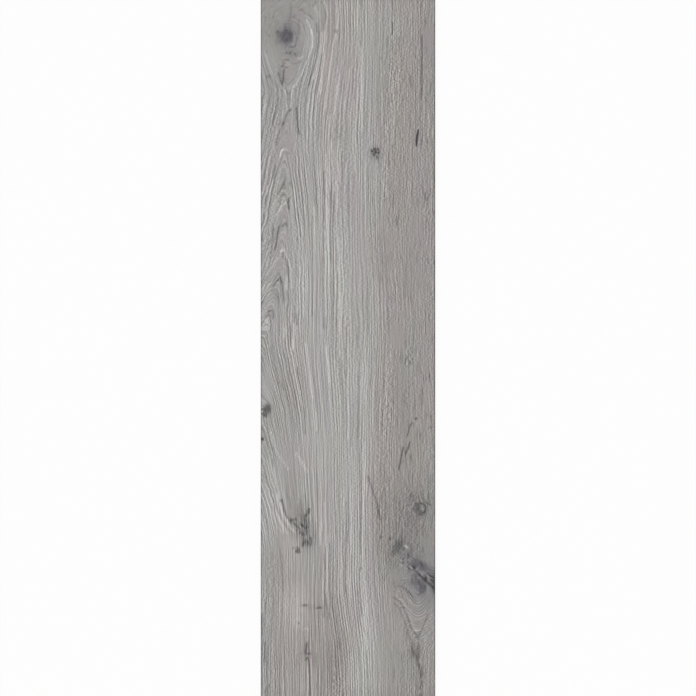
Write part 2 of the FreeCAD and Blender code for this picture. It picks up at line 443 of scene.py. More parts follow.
            (0.7, -26, ((406.6, 366), (409, 363.4), (412.4, 360), (414.6, 362.4))),
            (0.7, -22, ((404, 340), (406.4, 344), (405.6, 349))),
            (0.7, -22, ((409.4, 347), (412.4, 351), (410.6, 355))),
        ),
    },
    "forkedKnot": {
        "stains": (
            (303, 527, 11, 20, 0.2, -20, 0),
            (305.4, 522, 4.0, 9.0, 0.0, -20, 0),
            (306, 541, 5, 8, 0.0, -12, 0),
            (302, 511, 6, 12, 0.0, -10, 0),
            (310, 536, 5, 14, 0.0, -8, 0),
            (295, 524.5, 2.6, 4.2, 1.2, -16, 0),
            (291.6, 519.6, 2.5, 1.8, 0.0, -64, 0),
            (281.6, 500, 1.6, 1.8, 0.0, -38, 0),
            (301.8, 524.8, 1.7, 1.7, 0.0, -34, 0),
            (306.6, 527.6, 1.9, 2.9, 0.0, -54, 0),
            (296.5, 530, 1.7, 1.2, 0.0, -32, 0),
            (300.3, 532, 1.3, 1.9, 0.0, -54, 0),
            (302.6, 534.2, 1.4, 1.3, 0.0, -32, 0),
            (303.6, 543, 1.8, 3.6, -0.2, -54, 0),
            (306, 540.4, 1.5, 1.4, 0.0, -32, 0),
            (308.6, 511.2, 1.6, 2.7, 0.0, -64, 0),
            (306, 514.4, 1.3, 1.3, 0.0, -44, 0),
            (304.4, 517, 1.2, 2.5, 0.0, -40, 0),
            (297.2, 550.6, 1.8, 2.0, 0.0, -84, 0),
            (299.6, 551.4, 1.2, 1.6, 0.0, -54, 0),
            (299.2, 548.6, 1.2, 1.2, 0.0, -60, 0),
            (297.4, 547, 1.2, 1.4, 0.0, -54, 0),
            (293.5, 547.4, 1.4, 1.3, 0.0, -32, 0),
            (285, 541, 11, 9, 0.0, 5, 0),
        ),
        "strokes": (
            (0.8, 32, ((276.6, 491), (279, 502), (282, 511), (285.4, 518), (291.4, 528), (296.6, 532.8))),
            (0.7, 22, ((276, 511), (279, 519), (282.6, 526.4), (285, 534))),
            (0.7, 18, ((286, 529), (288.2, 535))),
            (0.7, 14, ((264.7, 484), (270, 508), (277, 524), (283, 534))),
            (0.7, 14, ((296.6, 503.4), (299.8, 500.4))),
            (0.8, -46, ((281.4, 498.4), (283, 504), (285, 511), (287.2, 516.6), (290, 518.6))),
            (0.8, -42, ((294.4, 517), (297.4, 520.4))),
            (0.8, -36, ((292, 521), (295.4, 524), (298.4, 527.4), (301, 531))),
            (0.8, -40, ((299.6, 521), (301.6, 524.6), (304, 526.4), (306, 528))),
            (0.8, -36, ((308.4, 513), (305.6, 517), (305, 522), (306.2, 526))),
            (0.8, -34, ((304.6, 533), (304, 538), (303.4, 541))),
            (0.7, 22, ((268, 486), (273, 502), (279.5, 518), (287, 531))),
            (0.7, -14, ((270.5, 487), (276, 506), (283, 522), (291, 532))),
            (0.8, -42, ((303, 529.6), (303.8, 532.8), (301.8, 535.4))),
            (0.8, -44, ((306.8, 529), (307.4, 536))),
            (0.8, -50, ((307.8, 539), (308.2, 545.4))),
            (0.8, -50, ((308.4, 538.6), (311, 537.2), (311.6, 541.4), (310.2, 547.4))),
            (0.8, -40, ((307, 508.4), (311.4, 508.8))),
            (0.8, -14, ((304.4, 492), (306.4, 500), (308.2, 508))),
            (0.8, -12, ((300.6, 497), (301.6, 508), (303.6, 514))),
            (0.7, -14, ((289, 495), (290.4, 503), (291, 510))),
            (0.8, -14, ((277, 536), (281, 558), (284, 592))),
            (0.8, 22, ((306.2, 516), (306.7, 519.4))),
            (0.8, 20, ((309.6, 527.6), (309.8, 530.6))),
            (0.8, 20, ((305.2, 534.6), (305.4, 538.4))),
            (0.7, 30, ((298.4, 549.2), (299, 550))),
        ),
    },
    "ringKnot": {
        "stains": (
            (421, 508, 15, 19, 0.0, -12, -1),
            (417.5, 508, 3.6, 5.4, 0.0, -34, -2),
            (421.5, 513, 4.4, 2.6, 0.0, -22, 0),
            (413, 496, 3.0, 4.0, 0.5, -14, 0),
        ),
        "strokes": (
            (0.9, -48, ((417, 506), (419, 503.6), (423, 503.4), (425.6, 506.5), (425, 511), (422, 513.6))),
            (0.7, 28, ((420, 507.4), (422, 508.2), (421.8, 511))),
            (0.9, -42, ((425.4, 499.6), (428, 503.6), (432.4, 505.4))),
        ),
    },
    "lowerRightKnot": {
        "stains": (
            (417, 570, 28, 38, 0.3, -10, -3),
            (396.4, 546.5, 4.4, 8.0, -0.35, -36, -2.5),
            (402.4, 545, 1.3, 5.0, 0.0, -20, 0),
            (404, 550, 9, 11, 0.3, -10, -2),
            (417.5, 563.5, 7.5, 6.5, 0.3, -32, -7),
            (427, 569, 7, 6, 0.4, -26, -5),
            (432.6, 581, 3.6, 9.0, 0.0, -24, -2),
            (434.4, 584, 2.4, 10, 0.0, -60, -2),
            (422.5, 585, 4.5, 7.5, 0.0, -38, -8),
            (414.5, 579, 5.0, 8.0, 0.0, -26, -8),
            (418.5, 586.5, 3.6, 4.6, 0.0, -18, -5),
            (428, 598, 9, 12, 0.0, -12, -3),
            (399, 574, 9, 7, 0.0, 6, -1),
            (418.9, 571.4, 1.7, 1.0, 0.3, 56, 0),
            (427.4, 574.6, 1.1, 1.4, 0.5, 56, 0),
            (425.5, 577, 3.2, 9, 1.0, -24, -3),
            (412, 566, 3.0, 7, 1.0, -12, -3),
            (402.0, 562.0, 1.4, 1.4, 0.0, -62, 0),
            (418.6, 580.6, 1.2, 2.2, 0.0, -30, 0),
            (425.2, 587, 1.0, 4.0, 0.0, -26, 0),
            (414.5, 651, 6.5, 8, 0.1, -22, 4),
            (420, 695, 2.2, 2.6, 0.0, -36, 0),
            (415, 662, 9, 26, 0.0, -5, 0),
            (420, 678, 4, 18, 0.0, -8, 0),
        ),
        "strokes": (
            # broken band of bark
            (1.0, 66, ((403.6, 544.6), (406.4, 546), (408.2, 548.6))),
            (0.8, 36, ((405.8, 558.6), (407.4, 561))),
            (0.7, -44, ((403, 556.4), (404.6, 559.4))),
            (0.7, 30, ((399.6, 561), (402.4, 565.4), (406, 569))),
            (0.7, -36, ((409.6, 563.4), (413.4, 567), (416, 570))),
            (0.7, 34, ((415.8, 566.8), (418.6, 570.6))),
            (0.8, -40, ((408.4, 552.4), (407.8, 559))),
            (0.7, 26, ((399, 557), (401.4, 560), (403.6, 563.6))),
            (0.8, -44, ((405.6, 564.4), (408.8, 567.8), (412, 570.6))),
            (0.7, 26, ((408, 563.6), (411, 566.8), (414, 569.2))),
            (0.8, -26, ((419, 560.6), (421.6, 564), (423, 567))),
            (0.8, -62, ((416.4, 570), (420, 575), (424, 579), (428, 582.6), (435, 588.6))),
            (0.7, 56, ((420.6, 572.8), (423, 575))),
            (0.7, 40, ((427.6, 578.2), (430.6, 581))),
            (0.7, 36, ((431.4, 583), (434, 585.4))),
            (0.7, -46, ((424, 577), (427.4, 580.4))),
            (0.7, -40, ((429.6, 577.6), (433.6, 581.6))),
            (0.8, -64, ((424.2, 575.8), (427, 577.8))),
            (0.8, -66, ((425, 571.8), (430, 574.8), (435, 578))),
            (0.8, -40, ((428.6, 578.8), (431.4, 579.6))),
            # dark heart under the band
            (0.7, -18, ((411.8, 574), (412.2, 585))),
            (0.7, -16, ((415.4, 573), (416, 582))),
            (0.7, 26, ((416.6, 584.4), (418.8, 586), (419.4, 588.4))),
            (0.8, -28, ((418.6, 591.3), (424.6, 591.6))),
            # lines that close below it
            (0.8, -26, ((406.6, 588.6), (410, 593), (414, 599.4), (418, 602.6))),
            (0.8, -20, ((392.5, 587), (401, 585.5), (408, 590), (413.5, 597.5))),
            (0.7, -32, ((391, 595), (400, 601), (406, 612), (411, 627), (417, 635.5), (419.4, 641))),
            (0.7, 13, ((393, 593), (402, 600), (408, 611), (413, 625), (418, 633))),
            (0.8, -18, ((392, 601), (398, 606), (403, 617), (408, 631), (414, 645))),
            (0.8, -22, ((428.6, 611), (424.7, 622), (420, 632), (418.5, 638))),
            # smudge and streak at the foot
            (0.8, -26, ((419.4, 640), (417.6, 650), (418.6, 659))),
            (0.8, -34, ((415.6, 652), (417.4, 660), (419.2, 668))),
            (0.8, -18, ((409, 637), (411.4, 645), (412.6, 653))),
            (0.7, -46, ((419, 661), (420.4, 670), (420.2, 679))),
            (0.7, -46, ((420.2, 678), (421.6, 683), (418.4, 690))),
        ),
    },
    "foot": {
        "stains": (
            (298, 622, 6, 5, 0.0, 9, 0),
            (296.6, 621.4, 0.9, 1.3, 0.0, -20, 0),
            (299.1, 622.4, 0.9, 1.6, 0.0, -60, 0),
            (304.8, 604.6, 3.0, 1.2, 0.0, -60, 0),
            (319.0, 607.3, 3.2, 1.2, 0.0, -56, 0),
            (312, 606, 11, 3.0, 0.0, -8, 0),
            (307, 651, 6, 10, 0.0, -12, 0),
            (309, 682, 8, 18, 0.0, 6, 0),
        ),
        "strokes": (
            (0.7, -58, ((307.4, 640), (306.4, 648), (305.8, 652.4), (309.6, 652.8), (312.2, 653.6))),
            (0.7, -52, ((309.8, 655.4), (306.9, 657.8), (305, 660.4))),
            (0.6, -66, ((308.4, 656.6), (309.7, 666.7), (310.2, 680), (310.4, 700))),
            (0.8, 18, ((303.4, 631), (305, 628), (307.8, 627.6), (309.2, 632))),
            (0.7, -44, ((265.4, 639), (265.3, 664))),
            (0.8, -26, ((262.4, 611), (262.2, 636))),
            (0.8, -24, ((270.4, 682), (267.5, 688), (264.2, 693))),
        ),
    },
    "broadClouds": {
        "stains": (
            (326, 645, 24, 62, 0.0, -12, 3),
            (290, 386, 14, 26, 0.2, -6, 2),
            (268, 385, 7, 26, 0.0, 5, -3),
            (368, 640, 8, 60, 0.0, 7, -1),
            (265, 640, 5, 60, 0.0, -4, -5),
            (425, 66, 9, 46, 0.0, -3, -2),
            (282, 616, 24, 80, 0.0, -3, 3),
            (404, 534, 27, 56, 0.0, -18, -1),
            (380, 510, 14, 56, 0.0, -5, 0),
            (318, 262, 28, 100, 0.0, 6, 0),
            (322, 440, 22, 60, 0.0, 5, 0),
            (271, 490, 16, 50, 0.0, 8, -1),
            (296, 606, 14, 24, 0.0, 13, 0),
            (338, 668, 12, 34, 0.0, -8, 1),
            (338, 140, 13, 32, 0.0, -6, 0),
            (338, 107, 4, 26, 0.0, 10, 0),
            (361, 22, 3, 24, 0.0, 9, 0),
            (393, 29, 6, 12, 0.0, 8, 0),
            (304, 14, 13, 26, 0.0, -5, 1),
            (330, 20, 18, 34, 0.0, -6, 0),
            (338, 198, 12, 34, 0.0, -8, 0),
            (306, 198, 20, 34, 0.0, -5, 0),
            (381, 255, 9, 34, 0.0, -6, 0),
            (358, 378, 11, 32, 0.0, 7, 0),
            (402, 412, 11, 50, 0.0, -7, 0),
            (293, 488, 9, 24, 0.0, -6, 0),
            (293, 556, 9, 20, 0.0, 5, 0),
            (316, 552, 9, 24, 0.0, -4, 0),
            (358, 606, 10, 26, 0.0, -5, 0),
            (277, 672, 16, 24, 0.0, -5, 1),
            (406, 672, 20, 24, 0.0, -5, -1),
            (412, 612, 24, 34, 0.0, 0, -1.5),
            (270, 432, 9, 28, 0.0, -5, 0),
            (293, 425, 9, 26, 0.0, -4, 0),
            (316, 490, 9, 26, 0.0, -4, 0),
            (282, 604, 20, 24, 0.0, 4, 0),
            (296, 672, 9, 20, 0.0, -5, 0),
            (338, 668, 9, 24, 0.0, -6, 0),
            (272, 88, 10, 20, 0.0, -4, 0),
            (302, 640, 36, 76, 0.0, 0, 1.0),
            (337, 85, 14, 100, 0.0, 0, 2.0),
            (324, 275, 28, 60, 0.0, 0, -1.2),
            (337, 425, 28, 70, 0.0, 0, -1.8),
            (381, 490, 13, 110, 0.0, 0, 2.2),
            (402, 665, 14, 34, 0.0, 0, -1.4),
            (370, 298, 3, 40, 0.0, -8, 0),
            (348, 696, 90, 10, 0.0, -8, 0),
        ),
        "strokes": (),
    },
}

# Tone, texture and relief of the print, in photo pixels and in levels if not said otherwise.
printing = {
    # tone across the plank: column and level
    "across": ((261, 2), (280, 2), (305, 6), (345, 8), (366, 8), (384, 0), (400, -3), (435, -7)),
    # warmth across the plank: column and how much red exceeds blue
    "warmth": ((261, 5.0), (372, 5.2), (396, 8.2), (435, 6.8)),
    "strokeEnds": 3,  # length over which a stroke fades at its ends
    "strokeReach": 3,  # half widths from its middle at which a stroke has died out
    "strokeGain": 1.3,  # makes up for the softening between the points of the mesh
    "strokeFray": 0.25,  # share of the fray that strokes and the smallest stains take
    "looseFrom": 12,  # half size from which a stain takes all of it
    "fray": ((3.1, 4.3, 1.0), (1.5, 2.1, 0.5)),  # cell across and along, amount
    "mottle": ((1.7, 2.6, 0.4),),
    "patches": ((7, 9, 0.7),),  # uneven strength of lines that lie far apart
    "paintedEdgeShade": (1.3, -60),  # reach in mm and level of the painted shade along the long edges: the face's tone is darkened there as a dark edge line
    # where the fine lines are weaker: column, row, half width, half height, share that is gone, or
    # that is added if negative
    "calm": (
        (287, 36, 25, 34, 0.8),
        (286, 68, 15, 22, 0.75),
        (266, 22, 14, 38, 0.65),
        (280, 8, 22, 14, 0.65),
        (288, 100, 4, 7, 0.5),
        (308, 6, 11, 11, 0.75),
        (267, 72, 9, 24, 0.4),
        (336, 60, 20, 56, 0.28),
        (321, 14, 9, 26, 0.6),
        (317, 58, 6, 26, 0.3),
        (372, 52, 18, 60, 0.25),
        (406, 548, 5, 14, 0.6),
        (288, 130, 7, 24, 0.6),
        (285, 172, 8, 26, 0.5),
        (283, 230, 8, 22, 0.4),
        (277, 290, 12, 34, 0.4),
        (358, 250, 10, 84, 0.35),
        (272, 480, 14, 60, 0.1),
        (272, 570, 12, 25, 0.5),
        (296, 590, 20, 44, 0.35),
        (290, 470, 15, 24, 0.3),
        (325, 395, 22, 50, -0.15),
        (412, 395, 18, 60, 0.45),
        (404, 462, 22, 40, 0.3),
        (322, 270, 16, 110, -0.1),
        (340, 350, 34, 215, 0.12),
        (300, 270, 7, 60, -0.2),
        (326, 565, 8, 45, -0.3),
        (355, 500, 10, 50, -0.1),
        (312, 675, 9, 30, -0.1),
        (294, 508, 10, 12, 0.7),
        (285, 541, 11, 9, 0.7),
        (424, 566, 13, 12, 0.75),
        (426, 598, 10, 12, 0.7),
        (420, 586, 12, 11, 1.0),
        (418, 611, 11, 14, 0.5),
        (430, 545, 8, 14, 0.6),
        (398, 573, 9, 8, 0.6),
        (428, 38, 7, 22, 0.6),
        (396, 335, 9, 13, 0.7),
        (267, 388, 7, 22, 0.6),
        (415, 262, 14, 50, 0.35),
        (391, 640, 13, 70, 0.5),
        (385, 250, 10, 50, 0.35),
    ),
    "calmEdge": 6,  # power of the distance, which sets how sharply such a place ends
    # where the grain curls into short squiggles: column, row, half width, half height, lean, share
    "curls": (
        (393, 80, 10, 34, 0.0, 0.85),
        (394, 76, 14, 72, 0.0, 0.45),
        (389, 160, 10, 70, 0.0, 0.5),
        (389, 395, 6, 44, 0.0, 0.9),
        (410, 357, 8, 12, 0.0, 0.9),
        (384, 448, 9, 60, 0.0, 0.7),
        (413, 395, 12, 30, 0.0, 0.5),
        (381, 488, 8, 40, 0.0, 0.7),
        (425, 260, 6, 9, 0.0, 0.7),
        (428, 212, 5, 7, 0.0, 0.8),
        (431, 300, 4, 26, 0.0, 0.6),
        (375, 245, 8, 24, 0.0, 0.5),
        (274, 580, 10, 26, 0.0, 0.8),
        (284, 596, 14, 46, 0.0, 0.55),
        (284, 660, 14, 34, 0.0, 0.45),
        (290, 652, 8, 9, 0.0, 0.7),
        (305, 525, 8, 22, 0.0, 0.6),
        (404, 560, 7, 12, 0.0, 0.7),
        (415, 568, 5, 14, 1.6, 0.9),
        (417, 584, 10, 8, 0.0, 0.5),
        (411, 500, 7, 16, 0.0, 0.7),
        (338, 686, 12, 14, 0.0, 0.7),
        (286, 62, 8, 9, 0.0, 0.5),
        (270, 20, 13, 30, 0.0, 0.3),
        (281, 74, 8, 12, 0.0, 0.5),
        (304, 280, 4, 9, 0.0, 0.8),
        (267, 240, 6, 14, 0.0, 0.7),
    ),
    "curlEdge": 5,
    # green or pink cast: column, row, half width, half height, amount, negative is green
    "casts": (
        (273, 32, 13, 30, -0.5),
        (292, 241, 5, 6, 0.4),
        (274, 4, 12, 6, 0.5),
        (298, 17, 7, 6, 0.5),
        (293, 84, 6, 8, 0.5),
        (400, 566, 12, 8, -0.3),
        (276, 592, 15, 48, 0.16),
        (294, 562, 14, 44, -0.2),
        (360, 252, 12, 50, 0.4),
        (272, 345, 12, 60, 0.25),
        (315, 370, 12, 30, 0.3),
    ),
    "fleckFrom": (362, 406),  # columns over which long lines give way to short flecks
    "blush": 0.56,  # share of pink against green
    # broad rings, drifts of warmth and drifts of blush: cell across and along in mm, amount
    "rings": ((5.0, 320, 1.5), (9.0, 420, 1.2)),
    "warmthDrift": ((14, 160, 1.8), (6, 60, 1.3)),
    "blushDrift": ((22, 90, 0.34), (7, 34, 0.2)),
    # relief: depth in mm of the grooves between the rings and of the deepest checks, each with the
    # span of levels that takes it from nothing to that depth
    "groove": (0.14, 16),
    "plainGroove": 0.5,  # share of that depth on wood of middle tone
    "check": (0.22, 60),
}


def strokeShare(px, py, halfWidth, points):
    # exp(-(gap / half width)²) of the gap to a bent line, thinning out over its ends; only the
    # points in a box round the line are worked on
    line = np.array(points, float)
    margin = printing["strokeReach"] * halfWidth
    (left, top), (right, bottom) = line.min(0) - margin, line.max(0) + margin
    near = np.flatnonzero((px > left) & (px < right) & (py > top) & (py < bottom))
    start, step = line[:-1], np.diff(line, axis=0)
    length = np.hypot(*step.T)
    offset = np.stack([px[near], py[near]], 1)[:, None] - start
    along = np.clip((offset * step).sum(2) / length**2, 0, 1)
    gap = np.linalg.norm(offset - along[..., None] * step, axis=2)
    pick = (np.arange(len(near)), gap.argmin(1))
    walked = ((np.cumsum(length) - length) + along * length)[pick]
    ends = min(printing["strokeEnds"], length.sum() / 3)  # a third of a short stroke
    fade = smoothStep(0, ends, walked) * smoothStep(0, ends, length.sum() - walked)
    share = np.zeros_like(px)
    share[near] = fade * np.exp(-((gap[pick] / halfWidth) ** 2))
    return share


def placedMarks(px, py):
    # stains and strokes on slightly frayed places, large stains more frayed and mottled than small
    # ones; light and dark marks add up
    frayX = noiseSum(printing["fray"], px, py, seeds["frayAcross"])
    frayY = noiseSum(printing["fray"], px, py, seeds["frayAlong"])
    mottle = noiseSum(printing["mottle"], px, py, seeds["mottle"])
    strokeFray = printing["strokeFray"]
    tone = np.zeros_like(px)
    warmth = np.zeros_like(px)
    for group in marks.values():
        for column, row, halfWidth, halfHeight, lean, level, warm in group["stains"]:
            loose = np.clip(min(halfWidth, halfHeight) / printing["looseFrom"], strokeFray, 1)
            frayed = px + loose * frayX, py + loose * frayY
            share = spotShare(*frayed, column, row, halfWidth, halfHeight, lean)
            tone += level * share * (1 + loose * mottle)
            warmth += warm * share
        for halfWidth, level, points in group["strokes"]:
            share = strokeShare(px + strokeFray * frayX, py + strokeFray * frayY, halfWidth, points)
            tone += printing["strokeGain"] * level * share
    print("print:", sum(len(g["stains"]) + len(g["strokes"]) for g in marks.values()), "marks placed")
    return tone, warmth


def printedFace(x, y):
    # all that the face carries at a point: grain level in mm, tone in levels, warmth, blush, shares of
    # flecks, fine, spread and tight lines and curls, and how deep the relief is sunk in mm
    px, py = columnOf(x), rowOf(y)
    level = grainLevel(px, py) * mmPerPixel
    steepness = grainSteepness(px, py)
    spread = np.clip(1 - steepness, 0, grain["mostSpread"])
    tight = smoothStep(*grain["tight"], steepness)
    tone, warmth = placedMarks(px, py)
    tone += knotRipples(px, py)
    fineLines = np.ones_like(px)
    for *spot, gone in printing["calm"]:
        fineLines *= 1 - gone * spotShare(px, py, *spot, power=printing["calmEdge"])
    curl = np.zeros_like(px)
    for *spot, share in printing["curls"]:
        curl = np.maximum(curl, share * spotShare(px, py, *spot, power=printing["curlEdge"]))
    blush = printing["blush"] + noiseSum(printing["blushDrift"], level, y, seeds["blush"])
    for *spot, amount in printing["casts"]:
        blush += amount * spotShare(px, py, *spot)
    rings = noiseSum(printing["rings"], level, y, seeds["rings"]) * fineLines
    patches = 1 + noiseSum(printing["patches"], px, py, seeds["patch"])

    grooveDepth, grooveSpan = printing["groove"]
    checkDepth, checkSpan = printing["check"]
    sunk = np.clip(printing["plainGroove"] * fineLines - rings / grooveSpan, 0, 1) * grooveDepth
    sunk += np.clip(-tone / checkSpan, 0, 1) * checkDepth
    paintedShadeReach, paintedShadeLevel = printing["paintedEdgeShade"]
    tone += rings + np.interp(px, *np.array(printing["across"]).T)
    # painted shade: the tone falls towards the long edges only, as a dark line beside the arris
    tone += paintedShadeLevel * np.exp(-(((tileWidth / 2 - np.abs(x)) / paintedShadeReach) ** 2))
    warmth += np.interp(px, *np.array(printing["warmth"]).T)
    warmth += noiseSum(printing["warmthDrift"], level, y, seeds["warmth"])
    return {
        "grain": level,
        "tone": tone,
        "warmth": warmth,
        "blush": blush,
        "fleck": smoothStep(*printing["fleckFrom"], px),
        "fineLines": fineLines,
        "lines": fineLines * (1 - spread) * (1 - tight),
        "spreadLines": fineLines * spread * patches,
        "tightLines": fineLines * tight,
        "curl": curl,
        "sunk": sunk,
    }


# The tile's solid form in mm, as the pressed and ground body has it, and the grid of its face.
tile = {
    "arrisLeg": 0.8,
    "keyCell": 25.0,
    "keyRib": 4.0,
    "keyDepth": 0.5,
    "keyDraft": 35.0,
    "keyRim": 6.0,
    "columns": 192,
    "rows": 470,
    # stretches of photo columns and rows where the grid is finer, and the added share of lines there
    "fineColumns": ((261, 316), (368, 382), (392, 435)),
    "columnGain": 0.5,
    "fineRows": ((10, 96), (105, 130), (145, 160), (176, 338), (402, 442), (492, 664), (676, 696)),
    "rowGain": 1.3,
    "sampling": 8,  # places tried for each grid line
}


def gridQuads(rows, columns, first, upward):
    # quads of a grid of points numbered from first, row after row, seen from above if upward
    corner = first + np.arange(rows - 1)[:, None] * columns + np.arange(columns - 1)
    quads = np.stack([corner, corner + 1, corner + columns + 1, corner + columns], -1).reshape(-1, 4)
    return quads if upward else quads[:, ::-1]


def wallTriangles(upper, lower, upperAt, lowerAt):
    # Triangles between two rows of points of unlike spacing: each step of one row goes to the point
    # of the other row that is level with the step's middle.
    upperMid = (upperAt[1:] + upperAt[:-1]) / 2
    lowerMid = (lowerAt[1:] + lowerAt[:-1]) / 2
    toLower = lower[np.searchsorted(lowerMid, upperMid, side="left")]
    toUpper = upper[np.searchsorted(upperMid, lowerMid, side="right")]
    return np.concatenate(
        [np.stack([upper[:-1], toLower, upper[1:]], 1), np.stack([lower[:-1], lower[1:], toUpper], 1)]
    )


def faceLines(size, count, pixelOf, fineStretches, gain):
    # Places of the grid lines: the edge, the inner line of the arris, then steps of equal weight,
    # where the weight of a stretch is 1 plus the gain if it is a fine one.
    inner = size / 2 - tile["arrisLeg"]
    places = np.linspace(-inner, inner, tile["sampling"] * count)
    pixel = pixelOf(places)
    weight = np.ones_like(places)
    for start, end in fineStretches:
        weight[(pixel > start) & (pixel < end)] += gain
    total = np.cumsum(weight) - weight[0]
    steps = np.interp(np.linspace(0, total[-1], count), total, places)
    return np.concatenate([[-size / 2], steps, [size / 2]])


def keyLines(size):
    # places of the lines on the back and the share of the key's depth there, 0 on a rib, 1 in a cell
    pitch = tile["keyCell"] + tile["keyRib"]
    count = math.floor((size - 2 * tile["keyRim"] + tile["keyRib"]) / pitch)
    middle = (np.arange(count) - (count - 1) / 2) * pitch
    mouth = tile["keyCell"] / 2
    floor = mouth - tile["keyDepth"] * math.tan(math.radians(tile["keyDraft"]))
    lines = (middle[:, None] + np.array([-mouth, -floor, floor, mouth])).ravel()
    inCell = np.tile([0.0, 1.0, 1.0, 0.0], count)
    return np.concatenate([[-size / 2], lines, [size / 2]]), np.concatenate([[0.0], inCell, [0.0]])


def tileSurface():
    # The face is a height field over its grid: the top less the relief, or the arris if that is lower.
    # The back is a height field too, the product of the two profiles, and the walls join the outlines.
    xs = faceLines(tileWidth, tile["columns"], columnOf, tile["fineColumns"], tile["columnGain"])
    ys = faceLines(tileLength, tile["rows"], rowOf, tile["fineRows"], tile["rowGain"])
    x, y = (a.ravel() for a in np.meshgrid(xs, ys))
    face = printedFace(x, y)
    inset = np.minimum(tileWidth / 2 - np.abs(x), tileLength / 2 - np.abs(y))
    arris = np.clip(tile["arrisLeg"] - inset, 0, None)
    rounding = 1e-6  # mm
    z = tileTop - np.where(arris > rounding, arris, face.pop("sunk"))
    top = np.stack([x, y, z], 1)

    backXs, cellX = keyLines(tileWidth)
    backYs, cellY = keyLines(tileLength)
    bx, by = (a.ravel() for a in np.meshgrid(backXs, backYs))
    bz = (cellY[:, None] * cellX).ravel() * tile["keyDepth"]
    back = np.stack([bx, by, bz], 1)

    topIndex = np.arange(len(top)).reshape(len(ys), len(xs))
    backIndex = len(top) + np.arange(len(back)).reshape(len(backYs), len(backXs))
    topQuads = gridQuads(len(ys), len(xs), 0, True)
    row, column = np.divmod(np.arange(len(topQuads)), len(xs) - 1)
    onArris = (row == 0) | (row == len(ys) - 2) | (column == 0) | (column == len(xs) - 2)
    return {
        "points": np.concatenate([top, back]),
        "face": topQuads[~onArris],
        "arris": topQuads[onArris],
        "back": gridQuads(len(backYs), len(backXs), len(top), False),
        "front": wallTriangles(topIndex[0], backIndex[0], xs, backXs),
        "right": wallTriangles(topIndex[:, -1], backIndex[:, -1], ys, backYs),
        "rear": wallTriangles(topIndex[-1, ::-1], backIndex[-1, ::-1], -xs[::-1], -backXs[::-1]),
        "left": wallTriangles(topIndex[::-1, 0], backIndex[::-1, 0], -ys[::-1], -backYs[::-1]),
        "layers": {name: np.concatenate([values, np.zeros(len(back))]) for name, values in face.items()},
    }


# Groups of faces: material, smooth shading, the two axes that are unrolled on the map, and the
# corners of the rectangle of the map that they fill.
faceGroups = {
    "face": (0, True, (0, 1), (0.004, 0.003), (0.830, 0.997)),
    "arris": (1, False, (0, 1), (0.004, 0.003), (0.830, 0.997)),
    "right": (1, False, (2, 1), (0.836, 0.003), (0.844, 0.997)),
    "left": (1, False, (2, 1), (0.858, 0.003), (0.850, 0.997)),
    "front": (1, False, (2, 0), (0.864, 0.003), (0.872, 0.250)),
    "rear": (1, False, (2, 0), (0.864, 0.270), (0.872, 0.520)),
    "back": (2, False, (0, 1), (0.997, 0.003), (0.880, 0.997)),
}


def buildTile(materials):
    # one closed mesh of the face, the ground edges and the back, group after group
    surface = tileSurface()
    points = surface["points"]
    corners, sizes, slots, smooth, unrolled = [], [], [], [], []
    lowest, extent = points.min(0), np.ptp(points, axis=0)
    for name, (slot, isSmooth, axes, start, end) in faceGroups.items():
        faces = surface[name]
        corners.append(faces.ravel())
        sizes.append(np.full(len(faces), faces.shape[1]))
        slots.append(np.full(len(faces), slot))
        smooth.append(np.full(len(faces), isSmooth))
        share = ((points[faces.ravel()] - lowest) / extent)[:, axes]
        unrolled.append(np.array(start) + share * (np.array(end) - np.array(start)))
    corners, sizes, slots, smooth, unrolled = map(np.concatenate, (corners, sizes, slots, smooth, unrolled))

    mesh = bpy.data.meshes.new("plank_tile_body")
    mesh.vertices.add(len(points))
    mesh.vertices.foreach_set("co", (points * mm).ravel())
    mesh.loops.add(len(corners))
    mesh.loops.foreach_set("vertex_index", corners)
    mesh.polygons.add(len(sizes))
    mesh.polygons.foreach_set("loop_start", np.concatenate([[0], np.cumsum(sizes)[:-1]]))
    mesh.polygons.foreach_set("material_index", slots)
    mesh.polygons.foreach_set("use_smooth", smooth)
    mesh.uv_layers.new(name="OFBake").data.foreach_set("uv", unrolled.ravel())
    for name, values in surface["layers"].items():
        mesh.attributes.new(name, "FLOAT", "POINT").data.foreach_set("value", values)
    for material in materials:
        mesh.materials.append(material)
    mesh.update(calc_edges=True)
    mesh.validate()
    print("tile:", len(mesh.vertices), "points,", int((sizes - 2).sum()), "triangles")

    piece = bpy.data.objects.new("plank_tile_body", mesh)
    scene.collection.objects.link(piece)
    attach(piece, "root")
    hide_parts("plank_tile")


def linearColour(code):
    # sRGB hex to linear: c / 12.92 below 0.04045, else ((c + 0.055) / 1.055) to the power 2.4
    channels = [int(code[i : i + 2], 16) / fullLevel for i in (1, 3, 5)]
    return [c / 12.92 if c <= 0.04045 else ((c + 0.055) / 1.055) ** 2.4 for c in channels] + [1.0]


def addNode(tree, kind, settings, links):
    # one node: each setting is a property or an input's value, each link an input and what feeds it
    node = tree.nodes.new(kind)
    for name, value in settings.items():
        if isinstance(name, str) and hasattr(node, name):
            setattr(node, name, value)
        else:
            node.inputs[name].default_value = value
    for name, output in links.items():
        tree.links.new(output, node.inputs[name])
    return node


def newMaterial(name):
    # an empty node material
    material = bpy.data.materials.new(name)
    material.use_nodes = True
    material.node_tree.nodes.clear()
    print("material:", name)
    return material


